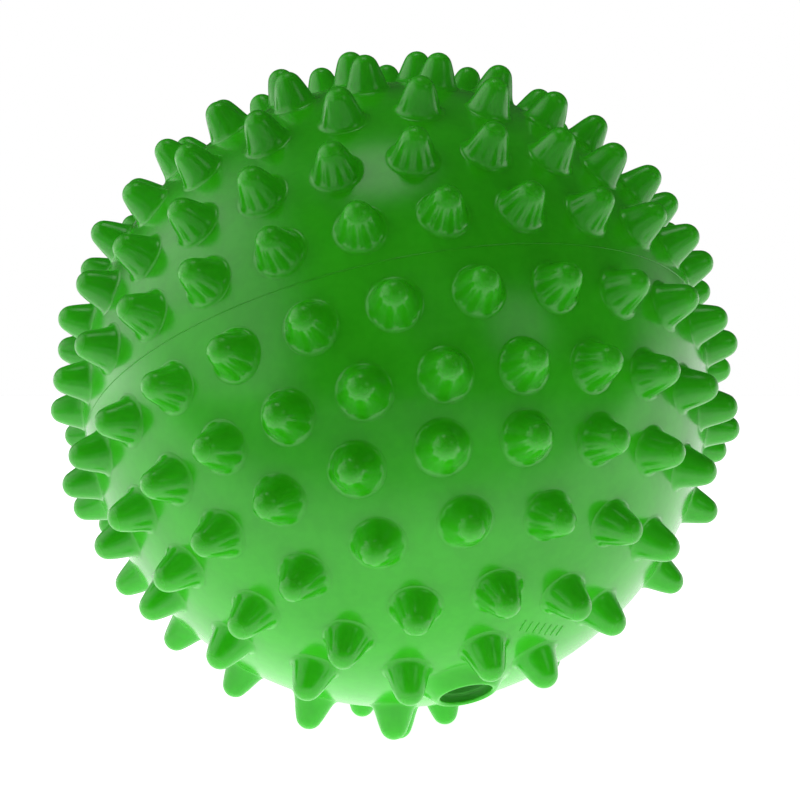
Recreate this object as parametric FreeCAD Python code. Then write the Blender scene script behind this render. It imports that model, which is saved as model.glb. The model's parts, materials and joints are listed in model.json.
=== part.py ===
"""Massage ball: a hollow soft-PVC ball with rings of blunt spikes and a push-in valve plug.

Millimetres, +Z up. The ball is first built about its moulding axis, valve down (-Z), and
then laid on the three spike tips that it rests on, with the floor at Z = 0 and the middle
of its outer box over the origin. Latitude counts from the parting line towards the valve,
longitude from the front (-Y) towards +X.
"""
import FreeCAD, Part
import math
import os

V = FreeCAD.Vector

# Moulded skin
body_r = 41.0
wall = 2.0
bead_width = 0.44
bead_height = 0.12

# One spike: a blunt bell that flares into the skin
spike_height = 4.1
tip_r = 1.75
tip_shoulder = 0.6
waist_r = 2.55
waist_height = 0.8
foot_r = 3.3
foot_arc_sag = 0.11

# Rings of spikes: latitude, places, longitude of the first, lean to the parting line, and the
# places that stay bare, counted from 0
valve_side_rings = [
    (7.6, 28, 2.9, 2.0, ()),
    (20.0, 28, -4.6, 5.0, (20, 22)),
    (31.4, 24, 5.6, 7.0, (5, 7, 16, 18)),
    (44.3, 20, 7.7, 8.0, (4, 6, 13, 15)),
    (58.3, 16, -7.8, 5.0, (4, 5, 6, 11, 13)),
    (72.4, 10, 12.0, -3.0, (2, 3, 4, 8)),
]
blind_side_rings = [
    (-6.1, 28, 0.6, 0.0, ()),
    (-18.1, 28, -1.1, 0.0, ()),
    (-31.8, 24, 2.1, 0.0, ()),
    (-45.4, 20, -7.8, 0.0, ()),
    (-57.5, 16, 9.9, 0.0, ()),
    (-70.0, 10, 0.0, 0.0, ()),
    (-82.0, 4, 20.0, 0.0, ()),
]
# The soft valve side is slightly oval: its rings swing this far in latitude, twice a turn
oval_swing = 5.0

# Valve, a little off the moulding axis, by distance from the ball's centre along its own axis
valve_lat = 80.0
valve_lon = 0.0
collar_r = 5.2
collar_rise = 1.4
tube_r = 4.0
mouth_r = 3.15
mouth_depth = 1.2
lip_round = 0.3
bore_r = 2.7
seat_r = 1.6
seat_thick = 0.8
tube_end = 33.2
plug_clearance = 0.05
plug_recess = 0.8
plug_length = 5.4
plug_nose = 0.8
plug_dimple_r = 1.1
plug_dimple_depth = 0.7
plug_edge_round = 0.25

# Plain raised bars beside the valve
bar_count = 7
bar_lat = 65.2
bar_lon = 36.6
bar_pitch = 1.12
bar_size = (0.36, 2.0, 0.14)
bar_sink = 0.6
bar_slant = 105.0
bar_row_turn = -15.0

# The spikes that touch the floor: valve-side ring and place, both counted from 0
floor_spikes = [(4, 10), (5, 5), (5, 6)]
facing_lat = 20.1


def direction(lat, lon):
    """Unit vector at a latitude and longitude, in degrees, valve towards -Z."""
    a, b = math.radians(lat), math.radians(lon)
    return V(math.cos(a) * math.sin(b), -math.cos(a) * math.cos(b), -math.sin(a))


def ring_places(lat, count, first_lon, lean, bare):
    """Latitude, longitude and lean of each spike of a ring, by the number of its place. The
    lean is full at the front and back and fades to nothing at the sides."""
    swing = oval_swing * math.sin(math.radians(max(lat, 0.0)))
    places = {}
    for i in range(count):
        lon = first_lon + 360.0 * i / count
        if i not in bare:
            fade = math.cos(math.radians(lon)) ** 2
            places[i] = (lat - swing * math.cos(math.radians(2 * lon)), lon, lean * fade)
    return places


def tip_centre(lat, lon, lean):
    """Centre of a spike's round tip."""
    reach = spike_height - tip_r
    return direction(lat, lon) * body_r + direction(lat - lean, lon) * reach


def spun(edges):
    """Solid of revolution about Z of a closed profile in the XZ plane."""
    face = Part.Face(Part.Wire(edges))
    return face.revolve(V(0, 0, 0), V(0, 0, 1), 360)


def line(a, b):
    return Part.LineSegment(V(a[0], 0, a[1]), V(b[0], 0, b[1])).toShape()


def arc(a, middle, b):
    return Part.Arc(V(a[0], 0, a[1]), V(middle[0], 0, middle[1]), V(b[0], 0, b[1])).toShape()


def path(*corners):
    return [line(a, b) for a, b in zip(corners, corners[1:])]


def on_sphere(radius, r):
    """Height above the ball's centre of a sphere at distance r from the axis."""
    return math.sqrt(radius * radius - r * r)


def sphere_arc(radius, r_from, r_to):
    """Arc of a sphere about the ball's centre, between two distances from the axis."""
    r_mid = radius * math.sin((math.asin(r_from / radius) + math.asin(r_to / radius)) / 2)
    ends = [(r, on_sphere(radius, r)) for r in (r_from, r_mid, r_to)]
    return arc(*ends)


def spike(lean):
    """One spike on the ball's +Z pole, leaning towards +X, with a base that fits the skin."""
    top = body_r + spike_height
    tip_z = top - tip_r
    waist_z = body_r + waist_height
    # The flank leaves the round tip where it is tangent to it
    run, drop = waist_r, tip_z - waist_z
    reach = math.hypot(run, drop)
    angle = math.atan2(drop, run) - math.acos(tip_r / reach)
    touch = (tip_r * math.cos(angle), tip_z - tip_r * math.sin(angle))
    shoulder = (tip_r * math.sin(tip_shoulder), tip_z + tip_r * math.cos(tip_shoulder))
    foot = (foot_r, on_sphere(body_r, foot_r))
    flare = ((waist_r + foot_r) / 2 - foot_arc_sag, (waist_z + foot[1]) / 2 - foot_arc_sag)
    outline = [
        arc((0, top), shoulder, touch),
        line(touch, (waist_r, waist_z)),
        arc((waist_r, waist_z), flare, foot),
    ]
    if lean == 0:
        return spun(outline + [sphere_arc(body_r, foot_r, 0), line((0, body_r), (0, top))])
    deep = body_r - 2 * waist_height
    outline += path(foot, (foot_r, deep), (0, deep), (0, top))
    leaning = spun(outline)
    leaning.rotate(V(0, 0, body_r), V(0, 1, 0), lean)
    return leaning.cut(Part.makeSphere(body_r, V(0, 0, 0), V(0, 1, 0)))


def placed(shape, lat, lon):
    """Move a shape from the +Z pole to a latitude and longitude, +X turned to the parting line."""
    up = direction(lat, lon)
    to_seam = direction(lat - 90, lon)
    side = up.cross(to_seam)
    m = FreeCAD.Matrix(
        to_seam.x, side.x, up.x, 0,
        to_seam.y, side.y, up.y, 0,
        to_seam.z, side.z, up.z, 0,
        0, 0, 0, 1,
    )
    moved = shape.copy()
    moved.Placement = FreeCAD.Placement(m)
    return moved


def spike_ring(ring):
    places = ring_places(*ring).values()
    return Part.makeCompound([placed(spike(lean), lat, lon) for lat, lon, lean in places])


def half_shell(upper):
    """One mould half of the skin. The valve half has the hole that the collar fills."""
    span = (0, 90) if upper else (-90, 0)
    outer = Part.makeSphere(body_r, V(0, 0, 0), V(0, 0, 1), *span, 360)
    inner = Part.makeSphere(body_r - wall, V(0, 0, 0), V(0, 0, 1), *span, 360)
    shell = outer.cut(inner)
    if not upper:
        valve = direction(valve_lat, valve_lon)
        shell = shell.cut(Part.makeCylinder(collar_r, body_r, V(0, 0, 0), valve))
    return shell


def parting_line_bead():
    """Fine raised line where the two mould halves met."""
    half = bead_width / 2
    edge_r = on_sphere(body_r, half)
    return spun([
        arc((edge_r, -half), (body_r, 0), (edge_r, half)),
        arc((edge_r, half), (body_r + bead_height, 0), (edge_r, -half)),
    ])


def valve_collar():
    """Raised rim, mouth and inner tube of the valve, with the seat at its inner end."""
    face = body_r + collar_rise
    rim_r = mouth_r + lip_round
    bend = 1 - math.sqrt(0.5)
    foot_z = on_sphere(body_r, collar_r)
    inner_z = on_sphere(body_r - wall, collar_r)
    step_z = face - mouth_depth
    collar = spun([
        arc((mouth_r, face - lip_round), (mouth_r + bend * lip_round, face - bend * lip_round),
            (rim_r, face)),
        arc((rim_r, face), ((rim_r + collar_r) / 2, face - 0.3 * (face - foot_z)),
            (collar_r, foot_z)),
        line((collar_r, foot_z), (collar_r, inner_z)),
        sphere_arc(body_r - wall, collar_r, tube_r),
        *path((tube_r, on_sphere(body_r - wall, tube_r)), (tube_r, tube_end), (seat_r, tube_end),
              (seat_r, tube_end + seat_thick), (bore_r, tube_end + seat_thick), (bore_r, step_z),
              (mouth_r, step_z), (mouth_r, face - lip_round)),
    ])
    return placed(collar, valve_lat, valve_lon)


def valve_plug():
    """Push-in plug: a short stopper with a tapered nose and a dimple in its outer end."""
    r = bore_r - plug_clearance
    top = body_r + collar_rise - mouth_depth - plug_recess
    low = top - plug_length
    edge = plug_edge_round
    bend = 1 - math.sqrt(0.5)
    plug = spun([
        arc((0, top - plug_dimple_depth), (0.7 * plug_dimple_r, top - 0.7 * plug_dimple_depth),
            (plug_dimple_r, top)),
        line((plug_dimple_r, top), (r - edge, top)),
        arc((r - edge, top), (r - bend * edge, top - bend * edge), (r, top - edge)),
        *path((r, top - edge), (r, low + plug_nose), (r - plug_nose / 2, low), (0, low),
              (0, top - plug_dimple_depth)),
    ])
    return placed(plug, valve_lat, valve_lon)


def mould_bars():
    """A short row of plain slanted bars, raised from the skin beside the valve."""
    width, length, height = bar_size
    bars = []
    for i in range(bar_count):
        corner = V(-width / 2, -length / 2, body_r - bar_sink)
        bar = Part.makeBox(width, length, height + bar_sink, corner)
        bar.rotate(V(0, 0, 0), V(0, 0, 1), bar_slant)
        away = math.degrees((i - (bar_count - 1) / 2) * bar_pitch / body_r)
        bar.rotate(V(0, 0, 0), V(1, 0, 0), away)
        bar.rotate(V(0, 0, 0), V(0, 0, 1), bar_row_turn)
        bars.append(placed(bar.cut(Part.makeSphere(body_r)), bar_lat, bar_lon))
    return Part.makeCompound(bars)


def lying_placement():
    """Turn that sets the floor spikes level, then the shift to the floor and the origin."""
    rings = [ring_places(*ring) for ring in valve_side_rings + blind_side_rings]
    a, b, c = [tip_centre(*rings[ring][i]) for ring, i in floor_spikes]
    up = (b - a).cross(c - a).normalize()
    if up.dot(a) > 0:
        up = up * -1
    facing = direction(facing_lat, 0)
    front = (facing - up * facing.dot(up)).normalize()
    right = up.cross(front)
    # Rows of the turn: where +X, +Y and +Z of the lying ball point on the upright one
    turn = FreeCAD.Placement(FreeCAD.Matrix(
        right.x, right.y, right.z, 0,
        -front.x, -front.y, -front.z, 0,
        up.x, up.y, up.z, 0,
        0, 0, 0, 1,
    ))
    tips = [turn.multVec(tip_centre(*place)) for ring in rings for place in ring.values()]
    spans = [(min(p[k] for p in tips) - tip_r, max(p[k] for p in tips) + tip_r) for k in range(3)]
    print("box", [round(high - low, 3) for low, high in spans])
    shift = V(-sum(spans[0]) / 2, -sum(spans[1]) / 2, -spans[2][0])
    print("ball centre", [round(k, 4) for k in shift])
    valve = turn.multVec(direction(valve_lat, valve_lon))
    print("valve axis", [round(k, 5) for k in valve])
    step = body_r + collar_rise - mouth_depth
    print("mouth floor", [round(k, 4) for k in shift + valve * step])
    return FreeCAD.Placement(shift, turn.Rotation)


nodes = {
    "upper_half_shell": half_shell(True),
    "lower_half_shell": half_shell(False),
    "parting_line_bead": parting_line_bead(),
    "valve_collar": valve_collar(),
    "valve_plug": valve_plug(),
    "mould_bars": mould_bars(),
}
for number, ring in enumerate(valve_side_rings, 1):
    nodes[f"spikes_lower_ring_{number}"] = spike_ring(ring)
for number, ring in enumerate(blind_side_rings, 1):
    nodes[f"spikes_upper_ring_{number}"] = spike_ring(ring)

os.makedirs("parts", exist_ok=True)
lying = lying_placement()
for name, shape in nodes.items():
    shape.Placement = lying.multiply(shape.Placement)
    shape.exportStep(f"parts/{name}.step")
    print(name, len(shape.Solids), "solids", round(shape.Volume, 2), "mm3", shape.isValid())
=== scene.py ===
"""Looks of the spiky massage ball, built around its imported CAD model. Metres, +Z up, front -Y."""
import json
import math

import bmesh
import bpy
import numpy as np
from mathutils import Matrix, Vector, noise


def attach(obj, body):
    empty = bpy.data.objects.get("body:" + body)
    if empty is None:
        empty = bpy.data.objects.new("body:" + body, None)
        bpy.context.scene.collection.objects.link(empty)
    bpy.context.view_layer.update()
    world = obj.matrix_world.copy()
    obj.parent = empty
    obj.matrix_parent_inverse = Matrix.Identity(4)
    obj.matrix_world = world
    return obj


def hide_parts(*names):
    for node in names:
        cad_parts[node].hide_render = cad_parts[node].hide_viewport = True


MM = 0.001
SAME_PLACE = 0.004 * MM
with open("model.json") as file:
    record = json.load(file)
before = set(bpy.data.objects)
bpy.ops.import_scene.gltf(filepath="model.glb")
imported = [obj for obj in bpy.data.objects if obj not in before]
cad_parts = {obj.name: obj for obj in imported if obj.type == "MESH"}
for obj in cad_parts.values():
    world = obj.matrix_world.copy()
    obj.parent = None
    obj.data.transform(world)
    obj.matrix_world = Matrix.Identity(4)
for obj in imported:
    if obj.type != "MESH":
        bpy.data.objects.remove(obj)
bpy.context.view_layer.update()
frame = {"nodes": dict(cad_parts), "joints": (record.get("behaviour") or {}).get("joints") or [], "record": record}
scene = bpy.context.scene


def unit(v):
    v = np.asarray(v, float)
    return v / np.linalg.norm(v)


def vertices(node):
    mesh = frame["nodes"][node].data
    co = np.empty(len(mesh.vertices) * 3)
    mesh.vertices.foreach_get("co", co)
    return co.reshape(-1, 3)


def sphere_through(points):
    """Centre and radius of the sphere that fits the points best."""
    origin = points.mean(0)
    local = points - origin
    rows = np.c_[2 * local, np.ones(len(local))]
    solved = np.linalg.lstsq(rows, (local ** 2).sum(1), rcond=None)[0]
    return origin + solved[:3], math.sqrt(solved[3] + solved[:3] @ solved[:3])


def solids(node):
    """The separate solids of a node, each as an array of its points."""
    mesh = bmesh.new()
    mesh.from_mesh(frame["nodes"][node].data)
    bmesh.ops.remove_doubles(mesh, verts=mesh.verts, dist=SAME_PLACE)
    mesh.verts.index_update()
    seen, found = set(), []
    for start in mesh.verts:
        if start.index in seen:
            continue
        seen.add(start.index)
        queue, island = [start], []
        while queue:
            vertex = queue.pop()
            island.append(tuple(vertex.co))
            for edge in vertex.link_edges:
                other = edge.other_vert(vertex)
                if other.index not in seen:
                    seen.add(other.index)
                    queue.append(other)
        found.append(np.array(island))
    mesh.free()
    return found


# ---------------------------------------------------------------- the ball, as the frame has it
shell = np.vstack([vertices("upper_half_shell"), vertices("lower_half_shell")])
rough_centre = (shell.min(0) + shell.max(0)) / 2
reach = np.linalg.norm(shell - rough_centre, axis=1)
CENTRE, BODY_R = sphere_through(shell[reach > reach.max() - 0.5 * MM])
VALVE = unit(frame["joints"][0]["axis"])
# The moulding axis: square to the parting line, and pointing to the valve's side of it
POLE = np.linalg.svd(vertices("parting_line_bead") - CENTRE, full_matrices=False)[2][2]
POLE = POLE * np.sign(POLE @ VALVE)


def round_axis(axis, count):
    """Unit vectors square to an axis, in even steps of a full turn about it."""
    first = unit(np.cross(np.cross(axis, (0, -1, 0)), axis))
    second = np.cross(axis, first)
    turn = 2 * math.pi * np.arange(count) / count
    return np.outer(np.cos(turn), first) + np.outer(np.sin(turn), second)


def new_mesh(name, verts, faces, smooth=True):
    mesh = bpy.data.meshes.new(name)
    mesh.from_pydata([tuple(v) for v in verts], [], faces)
    mesh.polygons.foreach_set("use_smooth", [smooth] * len(mesh.polygons))
    mesh.validate()
    mesh.update()
    piece = bpy.data.objects.new(name, mesh)
    scene.collection.objects.link(piece)
    return piece


def lathe(name, profile, segments):
    """Closed solid turned about the valve axis. The profile is (distance from the axis,
    distance from the ball's centre along it), from the axis or round a ring."""
    closed = profile[0][0] > 1e-6
    around = round_axis(VALVE, segments)
    verts, faces, rings = [], [], []
    for r, h in profile:
        first = len(verts)
        if r < 1e-7:
            rings.append([first] * segments)
            verts.append(CENTRE + VALVE * h)
        else:
            rings.append(list(range(first, first + segments)))
            verts += list(CENTRE + around * r + VALVE * h)
    loops = list(zip(rings, rings[1:])) + ([(rings[-1], rings[0])] if closed else [])
    for one, two in loops:
        for i in range(segments):
            j = (i + 1) % segments
            corners = list(dict.fromkeys((one[i], two[i], two[j], one[j])))
            if len(corners) > 2:
                faces.append(corners)
    return new_mesh(name, verts, faces)


def arc_points(centre, radius, start, end, count):
    """Points of a circular arc in the profile plane, angles in degrees from the outward axis."""
    angles = np.radians(np.linspace(start, end, count))
    return [(centre[0] + radius * math.sin(a), centre[1] + radius * math.cos(a)) for a in angles]


def bezier(a, b, c, d, t):
    return (1 - t) ** 3 * a + 3 * t * (1 - t) ** 2 * b + 3 * t * t * (1 - t) * c + t ** 3 * d


# ---------------------------------------------------------------- spikes
TIP_STEPS = 9
# Steps down the flank. The last is short, so that the skin's shading runs into the foot
FLANK_STEPS = [*np.arange(1, 13) / 13, 0.985, 1.0]
SPIKE_SEGMENTS = 40
SPIKE_ROOT = 0.35 * MM      # how far the closed root of each spike goes into the skin
TOUCH_ANGLE = 1.15          # where the round tip turns into the flank, radians from the apex
FLANK_PULL = 0.55           # the flank's curve: its pull along the tip and along the skin, as
FOOT_PULL = 0.22            # shares of the distance between the two
FOOT_SHARE = 0.97           # foot, as a share of the CAD spike's foot radius
FLUTES = 13
FLUTE_DEPTH = 0.004 * MM


def spike_geometry(points):
    """Base centre, tip centre, tip radius and foot radius of one CAD spike, from its points."""
    from_centre = points - CENTRE
    reach = np.linalg.norm(from_centre, axis=1)
    tip = points[reach > reach.max() - 1.0 * MM]
    tip_centre, tip_radius = sphere_through(tip)
    out = unit(tip_centre - CENTRE)
    along = unit(VALVE - out * (VALVE @ out))
    side = np.cross(out, along)
    foot = from_centre[np.abs(reach - BODY_R) < 0.002 * MM]
    spans = [foot @ axis for axis in (along, side)]
    middle = [(s.max() + s.min()) / 2 for s in spans]
    base_out = unit(out * BODY_R + along * middle[0] + side * middle[1])
    foot_radius = (spans[1].max() - spans[1].min()) / 2
    return CENTRE + base_out * BODY_R, tip_centre, tip_radius, foot_radius


def spike_points(points, seed):
    """Rows of points of one detailed spike, from near its apex to its closed root, with the
    apex and the root's middle: a round tip and a bell-shaped flank that runs into the skin."""
    base, tip_centre, tip_radius, foot_radius = spike_geometry(points)
    axis = unit(tip_centre - base)
    base_out = unit(base - CENTRE)
    side = unit(np.cross(axis, VALVE))
    along = np.cross(side, axis)
    rng = np.random.default_rng(seed)
    phase = rng.uniform(0, 2 * math.pi, 3)
    flute = FLUTE_DEPTH * rng.uniform(0.3, 1.0)
    slim = rng.uniform(0.975, 0.998)

    turn = 2 * math.pi * np.arange(SPIKE_SEGMENTS) / SPIKE_SEGMENTS
    outward = np.outer(np.cos(turn), along) + np.outer(np.sin(turn), side)
    uneven = 1 + 0.007 * np.sin(2 * turn + phase[0]) + 0.005 * np.sin(3 * turn + phase[1])
    rows = []
    for polar in TOUCH_ANGLE * np.arange(1, TIP_STEPS + 1) / TIP_STEPS:
        radius = tip_radius * (1 - (1 - slim) * math.sin(polar))
        level = tip_centre + tip_radius * math.cos(polar) * axis
        rows.append(level + radius * math.sin(polar) * outward)
    touch = rows[-1]
    tangent = outward - np.outer(outward @ base_out, base_out)
    tangent /= np.linalg.norm(tangent, axis=1)[:, None]
    angle = (FOOT_SHARE * foot_radius / BODY_R * uneven)[:, None]
    foot = CENTRE + BODY_R * (np.cos(angle) * base_out + np.sin(angle) * tangent)
    inward = np.sin(angle) * base_out - np.cos(angle) * tangent
    gap = np.linalg.norm(foot - touch, axis=1)[:, None]
    down = math.cos(TOUCH_ANGLE) * outward - math.sin(TOUCH_ANGLE) * axis
    for t in FLANK_STEPS:
        ripple = flute * math.sin(math.pi * t) * np.sin(FLUTES * turn + phase[2])
        curve = bezier(touch, touch + down * FLANK_PULL * gap, foot + inward * FOOT_PULL * gap,
                       foot, t)
        rows.append(curve + ripple[:, None] * outward)
    out = (foot - CENTRE) / BODY_R
    rows.append(foot - out * SPIKE_ROOT)
    return tip_centre + axis * tip_radius, rows, base - base_out * SPIKE_ROOT


def spike_ring(node, seed):
    """One ring of spikes. Its UV map holds the share of a turn and the share of the way down."""
    n, row_count = SPIKE_SEGMENTS, TIP_STEPS + len(FLANK_STEPS)
    around = np.tile(np.arange(n) / n, row_count + 1)
    depth = np.minimum(np.repeat(np.arange(1, row_count + 2), n) / row_count, 1)
    pattern_uv = np.vstack([(0.5, 0.0), np.c_[around, depth], (0.5, 1.0)])
    verts, faces, uvs = [], [], []
    for k, points in enumerate(solids(node)):
        apex, rows, root = spike_points(points, seed * 100 + k)
        first = len(verts)
        verts += [apex, *np.vstack(rows), root]
        uvs.append(pattern_uv)
        last = first + 1 + row_count * n
        for i in range(n):
            j = (i + 1) % n
            faces.append((first, first + 1 + i, first + 1 + j))
            for a in range(first + 1, last, n):
                faces.append((a + i, a + n + i, a + n + j, a + j))
            faces.append((last + n, last + j, last + i))
    piece = new_mesh(node.replace("spikes_", "moulded_spikes_"), verts, faces)
    layer = piece.data.uv_layers.new(name="spike")
    corner = np.empty(len(piece.data.loops), int)
    piece.data.loops.foreach_get("vertex_index", corner)
    layer.data.foreach_set("uv", np.vstack(uvs).astype(np.float32)[corner].ravel())
    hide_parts(node)
    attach(piece, "ball")
    return piece


# ---------------------------------------------------------------- skin halves
SKIN_ROWS, SKIN_SEGMENTS = 76, 240
SKIN_UNEVEN = 0.022 * MM
WALL = 2.0 * MM
SKIN_HEM = 0.0015           # short first and last step, so that the rims don't bend the shading
POLE_GAP = 0.01             # radians from the first row to the pole, which a fan closes


def skin_row(directions, radius, uneven):
    rise = np.zeros(len(directions))
    if uneven:
        from_seam = np.minimum(1.0, np.abs(directions @ POLE) * 12)
        swell = [noise.noise(Vector(d) * 3.1) + 0.45 * noise.noise(Vector(d) * 7.7)
                 for d in directions]
        rise = uneven * from_seam * np.array(swell)
    return CENTRE + directions * (radius + rise)[:, None]


def skin_half(name, node, axis, pole, hole_r):
    """One mould half of the skin, meshed round an axis from its hole or its closed end to the
    parting line: outer wall, inner wall and the rims that close them."""
    n = SKIN_SEGMENTS
    around = round_axis(axis, n)
    start = math.asin(hole_r / BODY_R) if hole_r else POLE_GAP
    seam = np.arctan2(axis @ pole, -(around @ pole))

    def row(share, radius, uneven):
        polar = (start + (seam - start) * share)[:, None]
        return skin_row(np.cos(polar) * axis + np.sin(polar) * around, radius, uneven)

    shares = np.r_[0, SKIN_HEM, np.arange(1, SKIN_ROWS) / SKIN_ROWS, 1 - SKIN_HEM, 1]
    rows = [row(share, BODY_R, SKIN_UNEVEN) for share in shares]
    rows += [row(share, BODY_R - WALL, 0.0) for share in np.linspace(1, 0, SKIN_ROWS // 4)]
    verts = list(np.vstack(rows))
    faces = []
    last = len(rows) - 1
    pairs = [(k, k + 1) for k in range(last)] + ([(last, 0)] if hole_r else [])
    for one, two in pairs:
        for i in range(n):
            j = (i + 1) % n
            faces.append((one * n + i, two * n + i, two * n + j, one * n + j))
    if not hole_r:
        outer, inner = len(verts), len(verts) + 1
        verts += [rows[0].mean(0), rows[last].mean(0)]
        for i in range(n):
            j = (i + 1) % n
            faces.append((outer, i, j))
            faces.append((last * n + i, inner, last * n + j))
    piece = new_mesh(name, verts, faces)
    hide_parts(node)
    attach(piece, "ball")
    return piece


def seam_line():
    """The flash line between the mould halves: a fine ridge of uneven height."""
    co = vertices("parting_line_bead") - CENTRE
    height = np.linalg.norm(co, axis=1).max() - BODY_R
    half_width = np.abs(co @ POLE).max()
    segments, across = 1080, 8
    verts, faces = [], []
    for out in round_axis(POLE, segments):
        slow = noise.noise(Vector(out) * 4 + Vector((9, 2, 4)))
        fast = noise.noise(Vector(out) * 60)
        rise = height * (0.34 + 0.18 * slow + 0.08 * fast)
        wide = half_width * (0.30 + 0.10 * slow)
        drift = 0.1 * half_width * noise.noise(Vector(out) * 9 + Vector((3, 3, 3)))
        for k in range(across):
            a = 2 * math.pi * k / across
            up = max(math.sin(a), -0.6)
            verts.append(CENTRE + out * (BODY_R + rise * up) + POLE * (wide * math.cos(a) + drift))
    for i in range(segments):
        j = (i + 1) % segments
        for k in range(across):
            m = (k + 1) % across
            faces.append((i * across + k, i * across + m, j * across + m, j * across + k))
    piece = new_mesh("parting_flash", verts, faces)
    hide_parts("parting_line_bead")
    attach(piece, "ball")
    return piece


# ---------------------------------------------------------------- valve
PLUG_CLEARANCE = 0.05 * MM
MOUTH_DEPTH = 1.2 * MM
SHADED_BORE_FACES = 5              # last profile steps of the rim, inside the mouth, which take the painted shade


def valve_profile_sizes():
    """Radii and heights of the collar and plug, along the valve axis from the ball's centre."""
    collar = vertices("valve_collar") - CENTRE
    plug = vertices("valve_plug") - CENTRE
    far = [np.linalg.norm(np.cross(co, VALVE), axis=1) for co in (collar, plug)]
    along = [co @ VALVE for co in (collar, plug)]
    mouth = frame["record"]["mounts"][0]
    return {
        "collar_r": far[0].max(), "seat_r": far[0].min(), "face": along[0].max(),
        "inner_end": along[0].min(), "plug_r": far[1].max(), "plug_top": along[1].max(),
        "plug_low": along[1].min(), "mouth_r": mouth["dims"]["r_mm"] * MM,
    }


def valve_rim(v):
    """The raised lip round the valve's mouth, its fillet into the skin and the inner tube."""
    lip, skirt = 0.34 * MM, 0.8 * MM
    mouth_r, face, collar_r = v["mouth_r"], v["face"], v["collar_r"]
    bore_r = v["plug_r"] + PLUG_CLEARANCE
    step = face - MOUTH_DEPTH
    foot_r = collar_r + skirt
    foot_h = math.sqrt(BODY_R ** 2 - foot_r ** 2)
    top = arc_points((mouth_r + lip, face - lip), lip, -90, 0, 8)
    crown = [bezier(np.array(top[-1]), np.array((mouth_r + 1.0 * MM, face)),
                    np.array((foot_r - 1.4 * MM, foot_h + 0.20 * MM)),
                    np.array((foot_r, foot_h)), t)
             for t in (*np.linspace(0.06, 0.97, 17), 0.995, 1.0)]
    tube_r = bore_r + 1.3 * MM
    inside = [(collar_r, foot_h - 0.3 * MM), (collar_r, foot_h - WALL),
              (tube_r, foot_h - WALL - 0.2 * MM),
              (tube_r, v["inner_end"]), (v["seat_r"], v["inner_end"]),
              (v["seat_r"], v["inner_end"] + 0.8 * MM), (bore_r, v["inner_end"] + 0.8 * MM),
              (bore_r, step - 0.12 * MM), (bore_r + 0.1 * MM, step), (mouth_r - 0.12 * MM, step),
              (mouth_r, step + 0.12 * MM)]
    profile = top + [tuple(c) for c in crown] + inside
    segments = 128
    piece = lathe("valve_rim", profile, segments)
    # The mouth's inside, every face from its floor up, takes darker greens as painted shade of the recess, with a
    # matt finish
    painted_shade_from = len(profile) - SHADED_BORE_FACES
    for face_index in range(painted_shade_from * segments, len(profile) * segments):
        piece.data.polygons[face_index].material_index = 1
    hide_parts("valve_collar")
    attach(piece, "ball")
    return piece


def valve_stopper(v):
    """The plug: rounded end with a dimple, straight body and tapered nose."""
    r, top, bottom = v["plug_r"], v["plug_top"], v["plug_low"]
    edge = 0.3 * MM
    dimple_r, dimple_depth = 1.15 * MM, 0.7 * MM
    dimple = [(dimple_r * s, top - dimple_depth * (1 - s * s)) for s in np.linspace(0, 0.9, 9)]
    rim = [(dimple_r + 0.12 * MM, top - 0.02 * MM), (dimple_r + 0.3 * MM, top)]
    outer = arc_points((r - edge, top - edge), edge, 0, 90, 7)
    nose = [(r, bottom + 0.9 * MM), (r - 0.05 * MM, bottom + 0.7 * MM), (r - 0.35 * MM, bottom + 0.1 * MM),
            (r - 0.5 * MM, bottom), (0.4 * r, bottom), (0.0, bottom)]
    piece = lathe("valve_stopper", dimple + rim + outer + nose, 96)
    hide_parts("valve_plug")
    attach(piece, "plug")
    return piece


# ---------------------------------------------------------------- mould marks
def mould_marks():
    """The plain raised bars, with soft rounded tops and ends."""
    verts, faces = [], []
    steps, across = 14, 9
    for points in solids("mould_bars"):
        middle = points.mean(0)
        out = unit(middle - CENTRE)
        flat = points - middle
        flat = flat - np.outer(flat @ out, out)
        along = np.linalg.svd(flat, full_matrices=False)[2][0]
        side = np.cross(out, along)
        length, width = (np.ptp(flat @ axis) for axis in (along, side))
        rise = np.linalg.norm(points - CENTRE, axis=1).max() - BODY_R
        first = len(verts)
        for i in range(steps + 1):
            s = -1 + 2 * i / steps
            end = math.sqrt(max(1 - abs(s) ** 5, 0.0))
            for k in range(across + 1):
                u = -1 + 2 * k / across
                p = along * (s * length / 2) + side * (u * width / 2 * max(end, 0.15))
                height = rise * end * (1 - u ** 4) - 0.06 * MM
                verts.append(CENTRE + unit(out * BODY_R + p) * (BODY_R + height))
        under = len(verts)
        for i in range(steps + 1):
            for k in range(across + 1):
                top = verts[first + i * (across + 1) + k]
                verts.append(CENTRE + unit(top - CENTRE) * (BODY_R - 0.4 * MM))
        row = across + 1
        for i in range(steps):
            for k in range(across):
                a = first + i * row + k
                faces.append((a, a + row, a + row + 1, a + 1))
                b = under + i * row + k
                faces.append((b, b + 1, b + row + 1, b + row))
        for i in range(steps):
            for k in (0, across):
                a, b = first + i * row + k, under + i * row + k
                quad = (a, b, b + row, a + row)
                faces.append(quad[::-1] if k else quad)
        for k in range(across):
            for i in (0, steps):
                a, b = first + i * row + k, under + i * row + k
                quad = (a, a + 1, b + 1, b)
                faces.append(quad[::-1] if i else quad)
    piece = new_mesh("mould_marks", verts, faces)
    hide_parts("mould_bars")
    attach(piece, "ball")
    return piece


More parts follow.
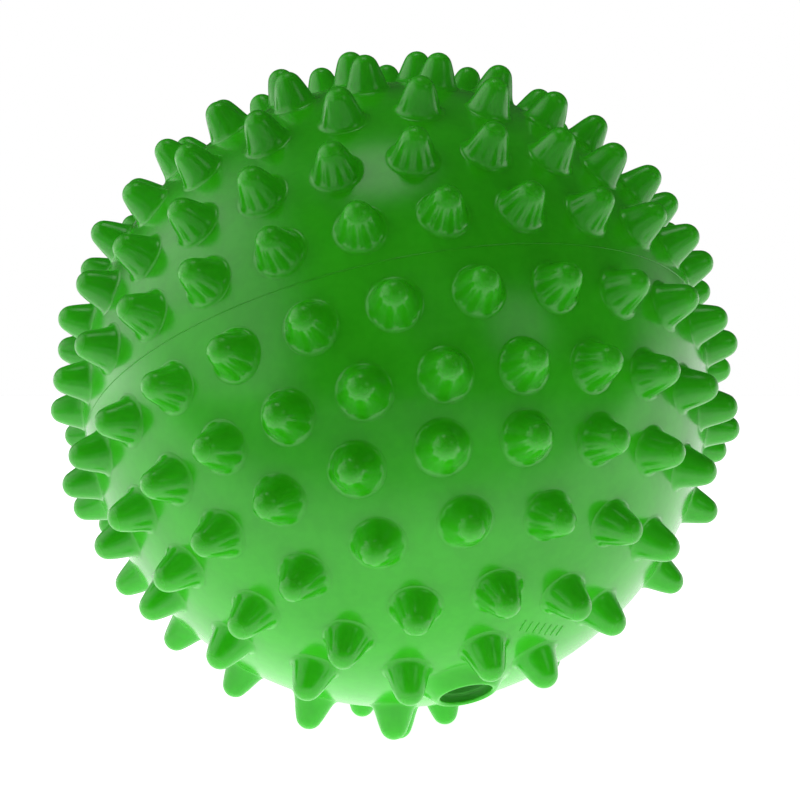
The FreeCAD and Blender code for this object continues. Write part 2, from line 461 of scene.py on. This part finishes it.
# ---------------------------------------------------------------- materials
class Nodes:
    """Short calls for building a node tree."""

    def __init__(self, tree):
        self.tree = tree
        tree.nodes.clear()

    def add(self, kind, **values):
        node = self.tree.nodes.new(kind)
        for name, value in values.items():
            setattr(node, name, value)
        return node

    def link(self, source, target):
        self.tree.links.new(source, target)
        return target

    def math(self, operation, a, b=None, c=None, clamp=False):
        node = self.add("ShaderNodeMath", operation=operation, use_clamp=clamp)
        for socket, value in zip(node.inputs, (a, b, c)):
            if value is None:
                continue
            if isinstance(value, (int, float)):
                socket.default_value = value
            else:
                self.link(value, socket)
        return node.outputs[0]

    def ramp(self, value, low, high, to_low=0.0, to_high=1.0, smooth=True):
        node = self.add("ShaderNodeMapRange", interpolation_type="SMOOTHSTEP" if smooth else "LINEAR")
        self.link(value, node.inputs["Value"])
        for name, number in (("From Min", low), ("From Max", high),
                             ("To Min", to_low), ("To Max", to_high)):
            node.inputs[name].default_value = number
        return node.outputs["Result"]

    def mix(self, factor, a, b):
        node = self.add("ShaderNodeMix", data_type="RGBA")
        self.link(factor, node.inputs["Factor"])
        for socket, value in ((node.inputs[6], a), (node.inputs[7], b)):
            if isinstance(value, tuple):
                socket.default_value = value
            else:
                self.link(value, socket)
        return node.outputs[2]

    def noise(self, coords, scale, detail=2.0, roughness=0.5, distortion=0.0):
        node = self.add("ShaderNodeTexNoise")
        self.link(coords, node.inputs["Vector"])
        node.inputs["Scale"].default_value = scale
        node.inputs["Detail"].default_value = detail
        node.inputs["Roughness"].default_value = roughness
        node.inputs["Distortion"].default_value = distortion
        return node.outputs["Fac"]


def pvc(name, deep, pale, roughness, spiked=False, scratches=True):
    """Glossy soft PVC: two close greens, fine orange peel, specks and hair scratches."""
    material = bpy.data.materials.new(name)
    material.use_nodes = True
    n = Nodes(material.node_tree)
    shader = n.add("ShaderNodeBsdfPrincipled")
    shader.inputs["IOR"].default_value = 1.52
    shader.inputs["Subsurface Weight"].default_value = 0.18
    shader.inputs["Subsurface Radius"].default_value = (0.15, 1.0, 0.12)
    shader.inputs["Subsurface Scale"].default_value = 1.1 * MM
    out = n.add("ShaderNodeOutputMaterial")
    n.link(shader.outputs[0], out.inputs["Surface"])
    coords = n.add("ShaderNodeTexCoord").outputs["Object"]

    cloud = n.noise(coords, 55, 3)
    grain = n.noise(coords, 900, 2)
    blend = n.math("ADD", n.ramp(cloud, 0.3, 0.7, 0.0, 0.75), n.ramp(grain, 0.35, 0.65, 0.0, 0.25))
    n.link(n.mix(blend, deep, pale), shader.inputs["Base Color"])

    patches = n.noise(coords, 120, 4, 0.6)
    rough = n.ramp(patches, 0.3, 0.75, roughness, roughness + 0.06)
    peel = n.noise(coords, 2600, 2, 0.45)
    height = n.math("MULTIPLY", peel, 0.0035)
    ripples = n.noise(coords, 240, 2, 0.5)
    height = n.math("ADD", height, n.math("MULTIPLY", ripples, 0.012))
    if scratches:
        stretch = n.add("ShaderNodeMapping")
        n.link(coords, stretch.inputs["Vector"])
        stretch.inputs["Rotation"].default_value = (0.3, 0.8, 0.5)
        stretch.inputs["Scale"].default_value = (1.0, 0.05, 1.0)
        line = n.add("ShaderNodeTexVoronoi", feature="DISTANCE_TO_EDGE")
        n.link(stretch.outputs[0], line.inputs["Vector"])
        line.inputs["Scale"].default_value = 260
        thin = n.ramp(line.outputs["Distance"], 0.0, 0.012, 1.0, 0.0)
        rare = n.ramp(n.noise(coords, 90, 2), 0.56, 0.64)
        mark = n.math("MULTIPLY", thin, rare)
        height = n.math("SUBTRACT", height, n.math("MULTIPLY", mark, 0.004))
        speck = n.add("ShaderNodeTexVoronoi", feature="F1")
        n.link(coords, speck.inputs["Vector"])
        speck.inputs["Scale"].default_value = 420
        dust = n.ramp(speck.outputs["Distance"], 0.0, 0.06, 1.0, 0.0)
        height = n.math("ADD", height, n.math("MULTIPLY", dust, 0.010))
    if spiked:
        uv = n.add("ShaderNodeUVMap", uv_map="spike").outputs[0]
        split = n.add("ShaderNodeSeparateXYZ")
        n.link(uv, split.inputs[0])
        down = split.outputs["Y"]
        at_tip = n.ramp(down, 0.20, 0.42, 1.0, 0.0)
        stipple = n.add("ShaderNodeTexVoronoi", feature="SMOOTH_F1")
        n.link(coords, stipple.inputs["Vector"])
        stipple.inputs["Scale"].default_value = 5200
        stipple.inputs["Smoothness"].default_value = 0.6
        dots = n.math("MULTIPLY", stipple.outputs["Distance"], at_tip)
        height = n.math("SUBTRACT", height, n.math("MULTIPLY", dots, 0.016))
        rings = n.math("SINE", n.math("MULTIPLY", down, 160.0))
        near = n.ramp(down, 0.04, 0.16, 1.0, 0.0)
        height = n.math("ADD", height, n.math("MULTIPLY", n.math("MULTIPLY", rings, near), 0.0035))
        rough = n.math("ADD", rough, n.math("MULTIPLY", at_tip, 0.06))
    n.link(rough, shader.inputs["Roughness"])
    bump = n.add("ShaderNodeBump")
    bump.inputs["Strength"].default_value = 1.0
    bump.inputs["Distance"].default_value = MM
    n.link(height, bump.inputs["Height"])
    n.link(bump.outputs[0], shader.inputs["Normal"])
    return material


# ---------------------------------------------------------------- camera, light and floor
CAMERA_REACH = 4.40          # camera to ball centre, in body radii
CAMERA_RISE = math.radians(0.51)
LIMB_SHARE = 313 / 800       # radius of the body's outline, as a share of the picture's width
AIM_SHIFT = (0.0054, -0.0069)
SENSOR = 36.0


def camera():
    data = bpy.data.cameras.new("camera")
    data.sensor_width = SENSOR
    data.lens = SENSOR * LIMB_SHARE * math.sqrt(CAMERA_REACH ** 2 - 1)
    data.clip_start = 0.01
    data.shift_x, data.shift_y = AIM_SHIFT
    eye = bpy.data.objects.new("camera", data)
    scene.collection.objects.link(eye)
    back = Vector((0, -math.cos(CAMERA_RISE), math.sin(CAMERA_RISE)))
    eye.location = Vector(CENTRE) + back * CAMERA_REACH * BODY_R
    eye.rotation_euler = (math.pi / 2 - CAMERA_RISE, 0, 0)
    scene.camera = eye


DIM = 0.035
BACKDROP_GLOW = 1.2
SOFT_LIGHTS = [
    # direction, half-angle, soft edge, strength
    ((-0.96, -0.10, 0.08), 34, 24, 0.95),
    ((-0.75, 0.15, 0.62), 8, 24, 0.34),
    ((-0.09, -0.10, 0.99), 4, 12, 1.5),
    ((0.665, -0.649, 0.373), 4, 10, 0.8),
    ((0.85, 0.45, 0.02), 14, 16, 0.5),
]


def studio():
    """A white sweep: bright behind and to the left, dim above and on the camera's side."""
    world = bpy.data.worlds.new("studio")
    scene.world = world
    world.use_nodes = True
    n = Nodes(world.node_tree)
    way = n.add("ShaderNodeTexCoord").outputs["Generated"]
    axes = n.add("ShaderNodeSeparateXYZ")
    n.link(way, axes.inputs[0])
    up, back = axes.outputs["Z"], axes.outputs["Y"]

    def patch(direction, half_angle, soft_angle, strength):
        """A soft round patch of light seen in one direction, with half-angles in degrees."""
        dot = n.add("ShaderNodeVectorMath", operation="DOT_PRODUCT")
        n.link(way, dot.inputs[0])
        dot.inputs[1].default_value = tuple(unit(direction))
        edge, core = (math.cos(math.radians(a)) for a in (half_angle + soft_angle, half_angle))
        return n.ramp(dot.outputs["Value"], edge, core, 0.0, strength)

    behind = n.math("MULTIPLY", n.ramp(up, 0.02, 0.26, 1.0, 0.0), n.ramp(back, -0.15, 0.30))
    light = n.math("MAXIMUM", n.math("MULTIPLY", behind, BACKDROP_GLOW), DIM)
    for soft in SOFT_LIGHTS:
        light = n.math("ADD", light, patch(*soft))
    seen = n.add("ShaderNodeLightPath").outputs["Is Camera Ray"]
    strength = n.math("ADD", n.math("MULTIPLY", light, n.math("SUBTRACT", 1.0, seen)),
                      n.math("MULTIPLY", seen, 1.0))
    surface = n.add("ShaderNodeBackground")
    surface.inputs["Color"].default_value = (1, 1, 1, 1)
    n.link(strength, surface.inputs["Strength"])
    out = n.add("ShaderNodeOutputWorld")
    n.link(surface.outputs[0], out.inputs["Surface"])


def lamp(name, way, distance, size, energy):
    """A round lamp that faces the ball and lights it softly, without showing in the gloss."""
    data = bpy.data.lights.new(name, "AREA")
    data.shape = "DISK"
    data.size = size
    data.energy = energy
    light = bpy.data.objects.new(name, data)
    light.location = Vector(CENTRE) + Vector(way).normalized() * distance
    light.rotation_euler = (Vector(CENTRE) - light.location).to_track_quat("-Z", "Y").to_euler()
    light.visible_glossy = False
    scene.collection.objects.link(light)


FLOOR_GLOW = 1.0
FLOOR_DARK, FLOOR_BRIGHT = -0.125, -0.048


def floor():
    """A pale sweep that gives off most of its own light, as a lit acrylic table does. It
    looks white throughout, but its light fades away in front of the ball."""
    size = 4.0
    verts = [(-size, -size, 0), (size, -size, 0), (size, size, 0), (-size, size, 0)]
    mesh = bpy.data.meshes.new("floor")
    mesh.from_pydata(verts, [], [(0, 1, 2, 3)])
    sheet = bpy.data.objects.new("floor", mesh)
    scene.collection.objects.link(sheet)
    material = bpy.data.materials.new("lit_sweep")
    material.use_nodes = True
    n = Nodes(material.node_tree)
    shader = n.add("ShaderNodeBsdfPrincipled")
    shader.inputs["Roughness"].default_value = 0.9
    shader.inputs["Specular IOR Level"].default_value = 0.1
    shader.inputs["Emission Color"].default_value = (1, 1, 1, 1)
    coords = n.add("ShaderNodeTexCoord").outputs["Object"]
    axes = n.add("ShaderNodeSeparateXYZ")
    n.link(coords, axes.inputs[0])
    glow = n.ramp(axes.outputs["Y"], FLOOR_DARK, FLOOR_BRIGHT, DIM, FLOOR_GLOW)
    seen = n.add("ShaderNodeLightPath").outputs["Is Camera Ray"]
    n.link(n.math("MAXIMUM", glow, seen), shader.inputs["Emission Strength"])
    paper = n.noise(coords, 40, 3)
    n.link(n.mix(paper, (0.78, 0.78, 0.78, 1), (0.82, 0.82, 0.82, 1)), shader.inputs["Base Color"])
    # From underneath the sheet is clear, so that the valve can be looked at
    from_below = n.add("ShaderNodeMixShader")
    n.link(n.add("ShaderNodeNewGeometry").outputs["Backfacing"], from_below.inputs[0])
    n.link(shader.outputs[0], from_below.inputs[1])
    n.link(n.add("ShaderNodeBsdfTransparent").outputs[0], from_below.inputs[2])
    out = n.add("ShaderNodeOutputMaterial")
    n.link(from_below.outputs[0], out.inputs["Surface"])
    mesh.materials.append(material)


# ---------------------------------------------------------------- build
DEEP = (0.028, 0.46, 0.004, 1)
PALE = (0.040, 0.56, 0.009, 1)
skin_material = pvc("skin_pvc", DEEP, PALE, 0.17)
spike_material = pvc("spike_pvc", DEEP, PALE, 0.19, spiked=True, scratches=False)
# Darker greens for the mouth's inside: painted shade of the recess, not a colour of the PVC
bore_painted_shade_material = pvc("bore_painted_shade_pvc", (0.012, 0.25, 0.002, 1), (0.018, 0.30, 0.004, 1), 0.50)
# Darker greens still for the plug: painted shade of the mouth it sits in, not a colour of the PVC
plug_painted_shade_material = pvc("plug_painted_shade_pvc", (0.010, 0.20, 0.002, 1), (0.014, 0.25, 0.004, 1), 0.45)

sizes = valve_profile_sizes()
skin = [skin_half("skin_blind_half", "upper_half_shell", -POLE, -POLE, 0.0)]
skin.append(skin_half("skin_valve_half", "lower_half_shell", VALVE, POLE, sizes["collar_r"]))
skin.append(seam_line())
rim = valve_rim(sizes)
skin += [rim, mould_marks()]
for piece in skin:
    piece.data.materials.append(skin_material)
rim.data.materials.append(bore_painted_shade_material)
valve_stopper(sizes).data.materials.append(plug_painted_shade_material)
ring_nodes = sorted(n for n in frame["nodes"] if n.startswith("spikes_"))
for number, ring in enumerate(ring_nodes):
    spike_ring(ring, number).data.materials.append(spike_material)

scene.view_settings.view_transform = "Standard"
camera()
studio()
lamp("overhead", (-0.17, 0.08, 0.98), 0.7, 0.2, 0.3)
lamp("fill", (0.15, -0.85, 0.50), 1.0, 0.5, 1.5)
floor()
